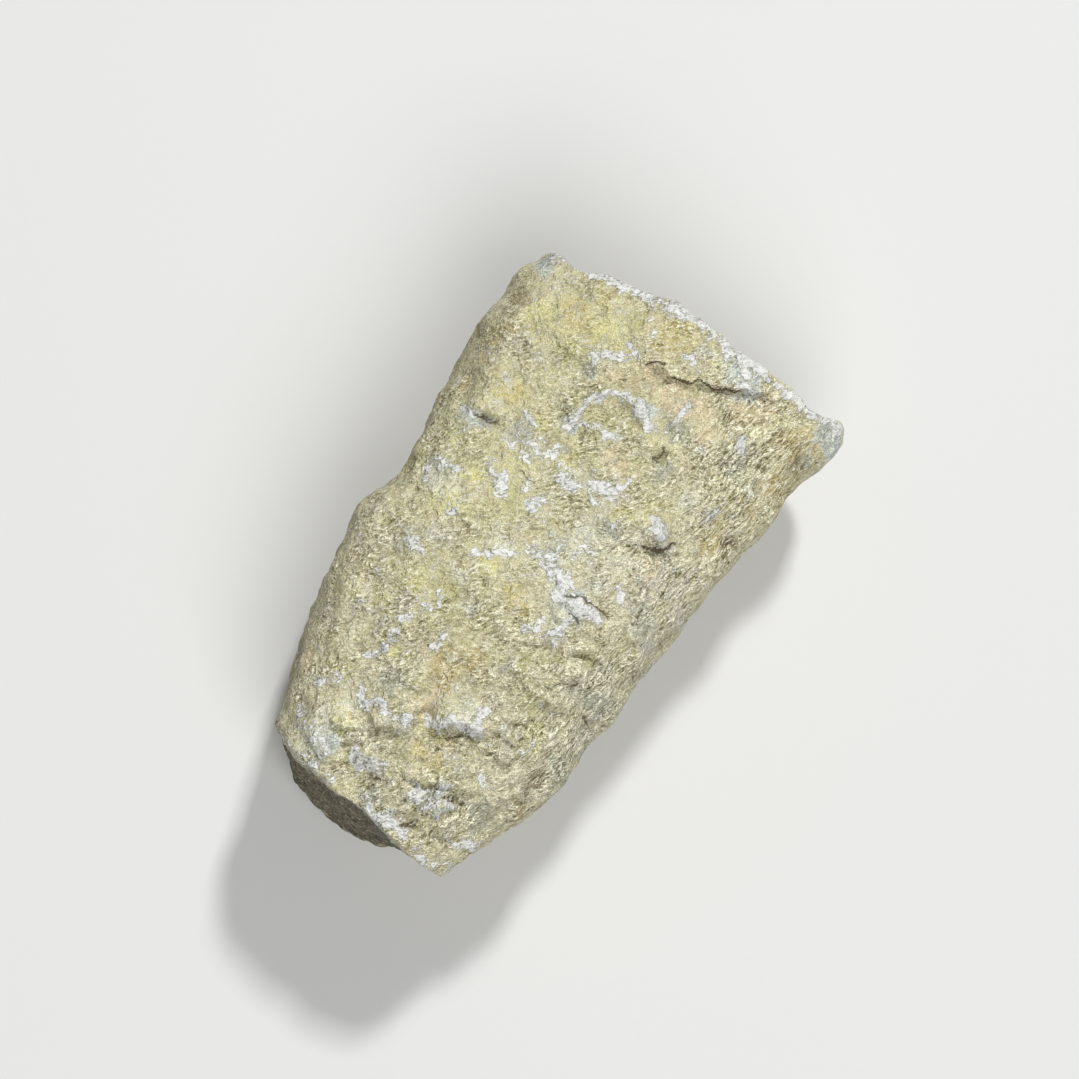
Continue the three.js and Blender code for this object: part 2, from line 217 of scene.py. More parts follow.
            ([(4.3, 8.5), (3.5, 7.3)], 0.9, 0.72),
            ([(7.2, 3.1), (7.4, 1.4), (8.6, -0.8)], 1, 0.6),
            ([(4.2, 5.2), (4, 4)], 0.9, 0.62),
            ([(1.7, 12.8), (2.4, 11.6)], 0.8, 0.6),
            ([(-0.7, 9.3), (-0.6, 8.9)], 0.8, 0.65),
            ([(2.8, -1.6), (0, 1.6), (-0.3, -0.8), (-1.6, -4.2)], 1.1, 0.6),
            ([(0.9, -6.4), (0.6, -6.6)], 0.8, 0.55),
            ([(-4.9, -2.2), (-3.4, -3.6)], 0.9, 0.6),
            ([(-7, 7.3), (-9, 7)], 0.8, 0.3),
            ([(-21.7, -2.2), (-22, -0.8)], 0.9, 0.6),
            # the white rim along the wide end: chalk, and a painted highlight where its edge catches the
            # light
            ([(23.5, 13.6), (23.6, 12.1), (23.3, 10), (23.9, 6.1), (24.4, 3.2), (24.6, 0),
              (24.1, -3.3)], 0.45, 0.8),
            ([(24.1, -3.3), (23.8, -7.6), (23.7, -10.9), (23.9, -13.1), (24.5, -15.1)], 0.4, 0.8),
        ],
    },
    # thin cracks and creases, sunk a little and painted dark as the shade inside them
    "cracks": {
        "depth": 0.12,
        "reach": 0.3,  # on either side of the line, over which the surface sinks towards it
        # line, half its width, strength
        "lines": [
            ([(19.2, 0.6), (19.1, 0.3), (19.5, -1.4), (20.3, -2.4), (20.4, -3.6), (21, -4.9),
              (21.8, -6.3)], 0.15, 1),
            ([(18.8, 2.5), (19.5, 1.8), (19.6, 0.9)], 0.15, 1),
            ([(7.4, 12.4), (7.5, 11.5), (7.7, 10.3)], 0.2, 0.9),
            ([(5.4, 6.5), (5.1, 4.7)], 0.07, 0.6),
            ([(5.3, -5.4), (6, -6.4), (6.4, -7.3), (7.6, -8.1)], 0.18, 0.95),
            ([(12.3, -2.4), (12.7, -2.8), (13.4, -2.7), (13.9, -2.2)], 0.14, 0.85),
            ([(-1.9, -1.9), (-0.9, -3.5), (-0.9, -5.4), (-1.1, -6.7)], 0.13, 0.8),
            ([(-24.9, -1), (-24.1, -2.1)], 0.16, 0.9),
            ([(-20.9, -3), (-20.6, -3.6)], 0.2, 0.8),
            ([(-22.6, 3.4), (-22.3, 2.4)], 0.22, 0.8),
            ([(-8.8, -9), (-9, -9.8)], 0.2, 0.8),
            ([(10.2, -11.8), (10.5, -12.3)], 0.16, 0.8),
            ([(-17, -0.2), (-16.1, -1.4), (-15.9, -2.6)], 0.12, 0.7),
            ([(-2.6, -3.3), (-3, -4.6)], 0.12, 0.8),
        ],
    },
    # soft stains, each laid over the ones before it: place, radius
    "stains": {
        "olive": [((13, 5.9), 1), ((12.9, 1.3), 1.1), ((3.1, 6.2), 1.1), ((1.7, 14.7), 1.1),
                  ((-7, 5.7), 1.7), ((-7.1, 2.7), 1.2), ((-14.5, 12.1), 0.9), ((-4.5, -6.5), 0.8),
                  ((-10.5, -5), 1.1), ((-8.2, -2.5), 1), ((-12.5, 6.6), 0.9), ((21.6, 4.7), 1),
                  ((-3.6, 12.7), 1.2)],
        "yellow": [((18.1, 12.4), 1.5), ((16.8, 8.7), 1.2), ((22.6, -2.3), 1), ((19, 4.6), 0.7),
                   ((19, 7.1), 1.5), ((10.1, 7.1), 1), ((9.5, 11.1), 0.9), ((5.2, 12.8), 0.8),
                   ((0.1, 10.2), 1.5), ((2.7, 9.3), 1), ((8, 3.3), 1.5), ((7, -2.8), 1), ((8.5, -4.7), 0.8),
                   ((-2.8, 4.4), 1), ((-7.1, 8.1), 1), ((-9.6, 9.9), 0.8), ((-12.5, -6.5), 1),
                   ((-6.4, -4.4), 0.8), ((-13.1, 7.2), 0.9), ((-21.1, -1.4), 0.7), ((-20.1, 7.6), 1.2)],
        "gold": [((19.9, 9.4), 1.9), ((21.7, 8.5), 1.2), ((22.6, 1.5), 1.9), ((21.2, 1.6), 1.4),
                 ((-4.8, -0.6), 1), ((-3.7, 1.7), 1.2), ((10.9, 10.5), 1.3), ((-17.1, 3), 0.8),
                 ((-18.4, 0.2), 1.7), ((22.4, -12.9), 1), ((8.8, -5.6), 0.8)],
        "ochre": [((15.1, 14), 1.3), ((13.1, 14.2), 1.2), ((9.6, 14.3), 0.9), ((-11.9, 2.8), 1.5),
                  ((-13.2, 2.2), 1), ((20.5, -11.5), 1.8), ((16.6, -12.6), 1.5), ((9.5, -10.7), 1.5),
                  ((13.7, -11.1), 1), ((-10.3, 0.8), 1)],
        "rose": [((17.4, -1.6), 1.6), ((18.4, -3.4), 1.3), ((16.8, 4), 1), ((18.3, 1.6), 1.1),
                 ((18.7, -0.7), 1.1), ((16.9, 1.8), 1), ((19.8, -6.5), 1.8), ((21.6, -8.5), 1.4),
                 ((10.3, -0.2), 1.2), ((-8.1, 14.2), 1.2), ((-17, 13.2), 1.6), ((-15.1, 3), 1.2),
                 ((16.2, -5.2), 0.9), ((4.5, -5.9), 1.5)],
        # the pale spots at (24.8, -15), (22.9, -15.6) and (20.8, -15.2) and the lilac ones at (2, -12.3)
        # and (-3, -11.8) lie on the right edge and paint a highlight along its rim
        "pale": [((0.9, 11.4), 1.3), ((3.2, -1.7), 1.8), ((0.7, -0.3), 1.8), ((7.1, 2.3), 1.2),
                 ((-1, -1.4), 1.2), ((0.5, 1.6), 1.2), ((11.2, -6.8), 1.2), ((0.5, -4.4), 1.2),
                 ((-0.7, 4.3), 1.2), ((5.6, -5.2), 0.8), ((-4.8, 6.1), 0.7), ((-23, 8.5), 1.6),
                 ((-3.5, -2.9), 1.6), ((-14.5, -1.1), 1.5), ((3.5, -4.5), 1.6), ((-20.5, 9.5), 1.2),
                 ((24.8, -15), 1.2), ((22.9, -15.6), 0.9), ((20.8, -15.2), 0.8), ((-19, 7.5), 1)],
        "lilac": [((4, -10.6), 1.5), ((-0.9, -10.8), 1), ((6.7, -11), 1), ((8.5, -1.1), 1),
                  ((-2.7, 9.9), 0.9), ((3, -8), 1), ((-10.2, -9.6), 1), ((2, -12.3), 1), ((-3, -11.8), 1),
                  ((6, -12.8), 0.8)],
        "grey": [((-7.2, -9.6), 1.8), ((0.5, -8.6), 1.2), ((-20.4, -6), 1.1), ((16, -8.4), 1.3),
                 ((5.1, -3), 1), ((6.1, -6.9), 0.6), ((-15.4, 5.7), 1.1), ((15.7, 6.1), 0.8),
                 ((15.7, -2.9), 1), ((7.4, 11.2), 0.9), ((-13.8, -10), 1.2), ((11.7, -3.9), 1.2),
                 ((6.5, 12.2), 1), ((8.3, 8.4), 1), ((-24.2, 2), 1), ((19.8, -14.4), 1)],
        "slate": [((22.8, -4.9), 1.5), ((21.9, -6), 1.2), ((7.4, 12.5), 0.8), ((24, -13.9), 1.2),
                  ((22.4, 14.4), 1), ((11.1, 4.7), 0.8), ((15.1, 0.2), 0.9), ((-1.8, -3.7), 1),
                  ((-22.4, 7.6), 1.1), ((-25, 0.3), 0.8), ((-21.3, -2.5), 0.8), ((23.6, 11.5), 0.9),
                  ((24.3, 3), 0.8), ((23.3, -14.8), 1.1), ((21.6, -14.9), 0.9)],
        # the brown spots at (19.7, 1.7) and (20.7, -3.9) lie on the plate's crack and paint the shade under
        # its edge
        "brown": [((18.3, 14.4), 0.8), ((16.8, 14.1), 0.7), ((14, 15.8), 0.8), ((19.7, 1.7), 0.35),
                  ((10, -11.5), 0.6), ((-18.4, -8.9), 1), ((-14.9, -8.5), 1), ((20.7, -3.9), 0.6),
                  ((19.4, -13.5), 0.8), ((10.7, -12.2), 0.8)],
    },
    # broad, faint tints, and patches of painted light (lit) and painted shade (dim): place, radius
    "tints": {
        "warm": [((12, 1), 8), ((3, 8), 6), ((19, 8), 6), ((18, -9), 5)],
        "cool": [((-7, -9), 6), ((3, -9), 5), ((-17, -8), 5)],
        # an olive tint, which also darkens the upper face as painted shade
        "oliveTintAndShade": [((10, 14), 5), ((4, 12.5), 5), ((-6, 9), 4), ((-8, 4), 4), ((11, 4), 4)],
        "lit": [((-17.1, 13.4), 2.6), ((-10.6, 13.6), 1.6), ((20.3, -8), 2), ((21.6, -11), 1.3),
                ((-20.4, -1), 1.5)],
        "dim": [((16.8, 9.7), 3.5), ((9.4, 5), 2), ((19.8, -12.6), 2), ((-18, -1.5), 2), ((21.6, 8.7), 2),
                ((-24.5, 9.2), 2), ((-11.3, -3), 1.8), ((-22.6, 2.2), 2), ((8.2, 2.6), 1.5)],
    },
    # how far stains and tints wander, and over what length on the sides
    "drifting": {"ragged": 0.8, "onSides": 5, "over": 5},
    # red, green and blue from 0 to 255
    "paints": {
        "tan": (186, 180, 148),
        "sand": (198, 193, 162),
        "olive": (180, 176, 128),
        "yellow": (208, 203, 144),
        "gold": (196, 184, 128),
        "ochre": (184, 169, 120),
        "rose": (204, 188, 153),
        "pale": (214, 213, 188),
        "lilac": (190, 186, 172),
        "grey": (166, 168, 152),
        "slate": (184, 194, 194),
        "brown": (152, 138, 104),
        "cream": (228, 225, 198),
        "shade": (134, 126, 90),
        "dusty": (212, 211, 187),
        "chalk": (233, 233, 229),
        "chalkShade": (160, 165, 164),
        # the painted shade inside cracks
        "crack": (92, 78, 56),
        # the narrow end's face: painted shade, dark, with lighter flecks in it
        "ends": (78, 73, 62),
        "shadedEndFlecks": (128, 121, 102),
        "back": (176, 168, 138),
    },
    "paintWaves": {
        "sway": 2.5,  # of the grain's lie
        "grain": 0.25,
        "streaks": 0.23,
        "smallGrain": 0.14,
        "dust": 0.11,
        "flecks": 0.7,
        "patches": 2.4,  # of rough and plain stone
        "blotches": 1.8,
        "clouds": 2.4,
        "ground": 3.2,
    },
    "bumpHeight": 0.2,
    "roughness": 0.92,
}

farAway = 1e9


def smoothstep(value, low, high):
    share = np.clip((value - low) / (high - low), 0, 1)
    return share * share * (3 - 2 * share)


def lerp(first, second, share):
    return first + (second - first) * share


def smoothCurve(knots, t):  # a smooth curve through the knots, level beyond them
    at, value = np.array(knots, float).T
    slope = np.empty_like(value)
    slope[1:-1] = (value[2:] - value[:-2]) / (at[2:] - at[:-2])
    slope[0] = (value[1] - value[0]) / (at[1] - at[0])
    slope[-1] = (value[-1] - value[-2]) / (at[-1] - at[-2])
    t = np.clip(t, at[0], at[-1])
    i = np.clip(np.searchsorted(at, t, side="right") - 1, 0, len(at) - 2)
    span = at[i + 1] - at[i]
    f = (t - at[i]) / span
    return (value[i] * (2 * f**3 - 3 * f**2 + 1) + slope[i] * span * (f**3 - 2 * f**2 + f)
            + value[i + 1] * (3 * f**2 - 2 * f**3) + slope[i + 1] * span * (f**3 - f**2))


def smoothLine(line, cuts=4):  # the line with its corners rounded off, through the same points
    corners = np.array(line, float)
    walked = np.arange(len(corners))
    t = np.linspace(0, len(corners) - 1, cuts * (len(corners) - 1) + 1)
    return np.stack([smoothCurve(list(zip(walked, axis)), t) for axis in corners.T], 1)


def nearLine(line, x, y):  # distance, side (positive on the left) and a fade to nothing at both ends
    corners = np.array(line, float)
    legs = np.diff(corners, axis=0)
    lengths = np.hypot(*legs.T)
    distance, side = np.full(x.shape, farAway), np.zeros(x.shape)
    share, weights = np.zeros(x.shape), np.zeros(x.shape)
    walked = 0
    for (ax, ay), (dx, dy), length in zip(corners, legs / lengths[:, None], lengths):
        f = np.clip((x - ax) * dx + (y - ay) * dy, 0, length)
        ox, oy = x - ax - f * dx, y - ay - f * dy
        away = np.hypot(ox, oy)
        closer = away < distance
        distance = np.where(closer, away, distance)
        side = np.where(closer, np.sign(dx * oy - dy * ox), side)
        weight = (away**2 + 0.05) ** -3  # the nearest legs say how far along the line a point is
        share += weight * (walked + f) / lengths.sum()
        weights += weight
        walked += length
    share /= weights
    return distance, side, smoothstep(np.minimum(share, 1 - share), 0, 0.2)


def swell(points, wave, seed):  # a sum of plane waves in seven directions, about -1 to 1
    waves, goldenAngle = 7, 2.4
    total = np.zeros(len(points))
    for i in range(waves):
        up = 1 - (2 * i + 1) / waves
        flat = math.sqrt(1 - up * up)
        turn = seed + i * goldenAngle
        number = 2 * math.pi / wave * (0.75 + 0.5 * ((seed * 0.37 + i * 0.618) % 1))
        direction = (flat * math.cos(turn), flat * math.sin(turn), up)
        total += np.sin(number * (points @ direction) + seed * 1.7 + i * i)
    return total / math.sqrt(2 * waves)


def blenderNoise(points, wave, kind="fractal", octaves=3, shift=0):  # about -1 to 1
    places = (points / wave + shift).tolist()
    if kind == "ridged":
        middle = 1.1
        return np.array([noise.ridged_multi_fractal(p, 1, 2, octaves, 1, 2) for p in places]) - middle
    return np.array([noise.fractal(p, 1, 2, octaves) for p in places])


def wandered(places, points, values, shift):  # places along one axis, led astray
    stray, over = values["wander"]
    return places + stray * blenderNoise(points, over, octaves=3, shift=shift)


def chips(points, wave):  # small tilted planes, one in each cell
    heights = []
    for place in (points / wave).tolist():
        centre = noise.voronoi(place)[1][0]
        tilt = noise.noise_vector(centre * 7.3)
        heights.append(noise.cell(centre * 5.1) * 0.4 - 0.2 + (Vector(place) - centre).dot(tilt))
    return np.array(heights)


def spots(places, x, y):  # 1 at the middle of each spot, falling off softly
    height = np.zeros_like(x)
    for (atX, atY), radius in places:
        height = np.maximum(height, np.exp(-((x - atX) ** 2 + (y - atY) ** 2) / radius**2))
    return height


def strokes(lines, x, y):  # the line's strength on it, falling to about 0 at twice its width
    height = np.zeros_like(x)
    for line, width, strength in lines:
        height = np.maximum(height, strength * np.exp(-((nearLine(line, x, y)[0] / width) ** 2)))
    return height


# the distance to the nearest crack, negative on its right and as if each were as wide as a usual one,
# and the crack's strength on it and around it
def nearCracks(lines, x, y):
    farthest, usualHalfWidth, fadesOver = 2, 0.15, 0.7
    signed, strength = np.full_like(x, farthest), np.zeros_like(x)
    nearest = np.full_like(x, farAway)
    for line, halfWidth, depth in lines:
        distance, side, fade = nearLine(smoothLine(line), x, y)
        closer = distance < nearest
        nearest = np.where(closer, distance, nearest)
        here = side * np.minimum(distance, farthest) / (halfWidth / usualHalfWidth)
        signed = np.where(closer, here, signed)
        here = depth * smoothstep(fade, 0, 0.5) * np.exp(-((distance / fadesOver) ** 2))
        strength = np.where(closer, here, strength)
    return signed, strength


def cubeGrid(rows):  # a cube of six grids, 2 across, its doubles merged
    along, across, down = rows
    shape = bmesh.new()
    quarter = math.pi / 2
    sides = [
        (along, across, Matrix.Identity(3)), (along, across, Matrix.Rotation(2 * quarter, 3, "X")),
        (along, down, Matrix.Rotation(quarter, 3, "X")), (along, down, Matrix.Rotation(-quarter, 3, "X")),
        (down, across, Matrix.Rotation(quarter, 3, "Y")), (down, across, Matrix.Rotation(-quarter, 3, "Y")),
    ]
    for xRows, yRows, turn in sides:
        place = turn.to_4x4() @ Matrix.Translation((0, 0, 1))
        bmesh.ops.create_grid(shape, x_segments=xRows, y_segments=yRows, size=1, matrix=place)
    bmesh.ops.remove_doubles(shape, verts=shape.verts, dist=1e-4)
    bmesh.ops.recalc_face_normals(shape, faces=shape.faces)
    return shape


# moves points of the cube onto the stone, and says how far each is on its upper face, its ends and its back
def stoneSurface(cube, form):
    u, v, w = cube.T
    across, up = v * np.sqrt(1 - w * w / 2), w * np.sqrt(1 - v * v / 2)  # the square section made round
    share = np.hypot(across, up)
    angle = np.arctan2(up, across)
    c, s = np.cos(angle), np.sin(angle)
    power = np.where(up < 0, form["backPower"], np.where(across > 0, form["leftPower"], form["rightPower"]))
    reach = (np.abs(c) ** power + np.abs(s) ** power) ** (-1 / power)
    p, q = share * reach * c, share * reach * s
    f = (u + 1) / 2
    x = lerp(*form["endsNear"], f)
    for turn in range(5):  # x and y depend on each other, and settle after a few turns
        left, right = smoothCurve(form["leftSide"], x), smoothCurve(form["rightSide"], x)
        half = (left - right) / 2
        y = (left + right) / 2 + p * half + smoothCurve(form["keel"], x) * np.maximum(-q, 0)
        x = lerp(smoothCurve(form["narrowEnd"], y), smoothCurve(form["wideEnd"], y), f)
    height = np.where(q > 0, smoothCurve(form["rise"], x), smoothCurve(form["drop"], x))
    z = form["waist"] + q * height
    under = form["waist"] + smoothCurve(form["rise"], x) - z
    narrowLean, wideLean = smoothCurve(form["narrowEndLean"], y), smoothCurve(form["wideEndLean"], y)
    x = x + under * (wideLean * f - narrowLean * (1 - f))
    points = np.stack([x, y, z], 1)

    # the way out of the stone: along it on its ends, and across it between them
    tiny = 1e-12
    outward = np.stack([np.zeros_like(p), np.sign(p) * np.abs(p) ** (power - 1) / half,
                        np.sign(q) * np.abs(q) ** (power - 1) / height], 1)
    outward /= np.linalg.norm(outward, axis=1)[:, None] + tiny
    outward *= smoothstep(share, 0.8, 1)[:, None]
    outward[:, 0] = np.sign(u) * smoothstep(np.abs(u), 0.94, 1)
    outward /= np.linalg.norm(outward, axis=1)[:, None] + tiny
    onEnd = np.abs(outward[:, 0])
    rough = np.zeros_like(x)
    for wave, front, waist, back, ends, seed in form["roughness"]:
        side = lerp(lerp(waist, front, smoothstep(q, 0.1, 0.6)), back, smoothstep(-q, 0.05, 0.5))
        rough += lerp(side, ends, onEnd) * swell(points, wave, seed)
    points += outward * rough[:, None]
    onUpper = smoothstep(q, 0.15, 0.55) * smoothstep(share, 0.5, 1)
    return points, onUpper, onEnd, smoothstep(-q, 0, 0.4)


def reliefHeight(x, y, values):
    height = np.zeros_like(x)
    for line, rise, reach, halfEdge in values["ledges"]:
        distance, side, fade = nearLine(smoothLine(line), x, y)
        edge = smoothstep(side * distance, -halfEdge, halfEdge)
        height += rise * fade * edge * np.exp(-distance / reach)
    for line, rise, width in values["ridges"]:
        distance, _, fade = nearLine(line, x, y)
        height += rise * fade * np.exp(-((distance / width) ** 2))
    for (atX, atY), rise, radius in values["lumps"]:
        height += rise * np.exp(-((x - atX) ** 2 + (y - atY) ** 2) / radius**2)
    return height


def drawnOut(points, values):  # the points as a noise has to read them for its grain to run in streaks
    turn = math.radians(values["turn"])
    along = points[:, 0] * math.cos(turn) + points[:, 1] * math.sin(turn)
    across = points[:, 1] * math.cos(turn) - points[:, 0] * math.sin(turn)
    return np.stack([along / values["stretch"], across, points[:, 2]], 1)


def flakeHeight(points, values):  # a saw across the facing direction, its teeth wandering and broken off
    downhill = points[:, :2] @ np.array(values["facing"])
    stretched = points * (1, 1, 0.4)
    astray = values["wander"] * blenderNoise(stretched, 3, octaves=3, shift=31)
    phase = (downhill + astray) / values["spacing"]
    tooth = phase - np.floor(phase)
    gentle, steep = 0.85, 0.15
    broken = smoothstep(blenderNoise(stretched, 2.6, octaves=2, shift=57), -0.25, 0.35)
    return values["height"] * broken * np.minimum(tooth / gentle, (1 - tooth) / steep)


def hollows(mesh, points, normals, steps):  # how far each point lies under the smoothed surface
    ends = np.empty(2 * len(mesh.edges), int)
    mesh.edges.foreach_get("vertices", ends)
    first, second = ends[0::2], ends[1::2]
    count = np.bincount(ends, minlength=len(points))
    smooth = points
    for step in range(steps):
        sums = (np.bincount(first, axis[second], len(points))
                + np.bincount(second, axis[first], len(points)) for axis in smooth.T)
        smooth = np.stack([total / count for total in sums], 1)
    return ((smooth - points) * normals).sum(1)


print("Shaping the stone")
form, relief, weathering = stone["form"], stone["relief"], stone["weathering"]
crusts, cracks, drifting = stone["crusts"], stone["cracks"], stone["drifting"]
rows = stone["facets"]
shape = cubeGrid(rows)
mesh = bpy.data.meshes.new("fossilStone")
shape.to_mesh(mesh)
shape.free()
cube = np.empty(len(mesh.vertices) * 3)
mesh.vertices.foreach_get("co", cube)
points, onUpper, onEnd, onBack = stoneSurface(cube.reshape(-1, 3), form)
flatPoints = points * (1, 1, 0.3)
x = wandered(points[:, 0], flatPoints, relief, 3.7)
y = wandered(points[:, 1], flatPoints, relief, 9.1)
points[:, 2] += relief["strength"] * reliefHeight(x, y, relief) * onUpper

print("Weathering the stone")
mesh.vertices.foreach_set("co", points.ravel())
mesh.update()
normals = np.empty(len(mesh.vertices) * 3)
mesh.vertex_normals.foreach_get("vector", normals)
normals = normals.reshape(-1, 3)
flaky = spots(stone["parts"]["flaky"], x, y) * onUpper
streaky = spots(stone["parts"]["streaky"], x, y)
crackSide, crackStrength = nearCracks(cracks["lines"], x, y)
crackStrength *= onUpper
crack = crackStrength * np.exp(-((crackSide / cracks["reach"]) ** 2))
lace = blenderNoise(points, 1.1, octaves=4, shift=5)
crustX, crustY = wandered(x, points, crusts, 13), wandered(y, points, crusts, 17)
crust = strokes(crusts["lines"], crustX, crustY) * crusts["onLines"]
crust += spots(stone["stains"]["slate"], x, y) * crusts["onSlate"]
crust = crust * onUpper + crusts["onWideEnd"] * onEnd * (x > 0) + crusts["ragged"] * lace
crust *= crusts["thickness"] + crusts["patchiness"] * blenderNoise(points, 1.8, octaves=2, shift=17)

fine = np.zeros_like(x)
for name in ("swells", "lumps", "crumbs"):
    wave, height, kind, octaves, shift = weathering[name]
    fine += height * blenderNoise(points, wave, kind, octaves, shift)
wave, height = weathering["chips"]
noise.seed_set(weathering["chipSeed"])
fine += height * chips(points, wave)
wave, height, kind, octaves, shift = weathering["wrinkles"]
wrinkles = height * blenderNoise(drawnOut(points, stone["streaks"]), wave, kind, octaves, shift)
fine += wrinkles * lerp(weathering["wrinklesElsewhere"], 1, np.maximum(streaky, flaky))
fine *= (lerp(weathering["onSides"], 1, np.maximum(onUpper, onBack))
         * (1 + weathering["moreOnFlaky"] * flaky + weathering["moreOnBack"] * onBack))
fine += flakeHeight(points, weathering["flakes"]) * lerp(weathering["flakesElsewhere"], 1, flaky)
foot = form["footHeight"]
footFade = smoothstep(points[:, 2], foot, foot + weathering["footMargin"])
lift = (fine + crusts["rise"] * smoothstep(crust, 0.35, 0.7)) * footFade - cracks["depth"] * crack
points += normals * lift[:, None]
points[:, 2] = np.maximum(points[:, 2], foot)

low, high = points.min(0), points.max(0)
cadLow, cadHigh = (np.array(corner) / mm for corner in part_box("crinoid_fossil"))
shift = (cadLow + cadHigh) / 2 - (low + high) / 2
shift[2] = cadLow[2] - low[2]
mesh.vertices.foreach_set("co", ((points + shift) * mm).ravel())

print("Marking the stone for its paints")
drift = drifting["ragged"] * lace
drift += drifting["onSides"] * (1 - onUpper) * blenderNoise(points, drifting["over"], octaves=2, shift=23)
marks = {name: spots(places, x + drift, y + drift) * (1 - onBack)
         for name, places in (stone["stains"] | stone["tints"]).items()}
marks |= {
    "crust": crust,
    "crackSide": crackSide,
    "crackStrength": crackStrength,
    "streaky": streaky,
    "plain": spots(stone["parts"]["plain"], x, y),
    # where the narrow end is, to be painted dark as its shade
    "ends": (1 - onUpper) * smoothstep(onEnd + 0.5 * lace, 0.35, 0.85) * (x < 0),  # the narrow end alone
    "back": onBack,
    # how deep each point lies in a hollow, for painted shade there
    "hollowShade": hollows(mesh, points, normals, 8),
}
for name, values in marks.items():
    mesh.attributes.new(name, "FLOAT", "POINT").data.foreach_set("value", values.astype(np.float32))
mesh.update()
mesh.shade_smooth()
stonePiece = bpy.data.objects.new("fossilStone", mesh)
bpy.context.collection.objects.link(stonePiece)
print("triangles", 2 * len(mesh.polygons), "size mm", high - low, "shift", shift)


class Socket:  # a node's output, on which sums make Math nodes
    def __init__(self, nodes, output):
        self.nodes, self.output = nodes, output

    def math(self, operation, *values):
        return self.nodes.add("ShaderNodeMath", {"operation": operation}, dict(enumerate(values)))

    def __add__(self, other):
        return self.math("ADD", self, other)

    def __sub__(self, other):
        return self.math("SUBTRACT", self, other)

    def __rsub__(self, other):
        return self.math("SUBTRACT", other, self)

    def __mul__(self, other):
        return self.math("MULTIPLY", self, other)

    __radd__, __rmul__ = __add__, __mul__

    def absolute(self):
        return self.math("ABSOLUTE", self)

    def orMore(self, other):
        return self.math("MAXIMUM", self, other)


class Nodes:  # the nodes of one material
    def __init__(self, material):
        material.use_nodes = True
        self.tree = material.node_tree
        self.tree.nodes.clear()

    def add(self, kind, settings={}, values={}, output=0):
        node = self.tree.nodes.new(kind)
        for name, setting in settings.items():
            setattr(node, name, setting)
        for name, value in values.items():
            if isinstance(value, Socket):
                self.tree.links.new(value.output, node.inputs[name])
            else:
                node.inputs[name].default_value = value
        return Socket(self, node.outputs[output]) if node.outputs else node

    def mask(self, value, low, high):  # 0 under low, 1 over high
        return self.add("ShaderNodeMapRange", {"interpolation_type": "SMOOTHSTEP"},
                        {"Value": value, "From Min": low, "From Max": high})

    def noise(self, place, wave, detail=3, roughness=0.6, distortion=0.0, output=0):
        return self.add("ShaderNodeTexNoise", {},
                        {"Vector": place, "Scale": 1 / (wave * mm), "Detail": detail,
                         "Roughness": roughness, "Distortion": distortion}, output)

    def drawnOut(self, place, values):
        return self.add("ShaderNodeMapping", {"vector_type": "TEXTURE"},
                        {"Vector": place, "Rotation": (0, 0, math.radians(values["turn"])),
                         "Scale": (values["stretch"], 1, 1)})

    def mix(self, factor, first, second):
        return self.add("ShaderNodeMix", {"data_type": "RGBA"}, {0: factor, 6: first, 7: second}, 2)

    def scale(self, colour, factor):
        return self.add("ShaderNodeVectorMath", {"operation": "SCALE"}, {"Vector": colour, "Scale": factor})

    def attribute(self, name):
        return self.add("ShaderNodeAttribute", {"attribute_name": name}, {}, 2)


def paint(red, green, blue):  # a colour from 0-255 screen values
    screen = (red / 255, green / 255, blue / 255)
    return (*(c / 12.92 if c <= 0.04045 else ((c + 0.055) / 1.055) ** 2.4 for c in screen), 1)


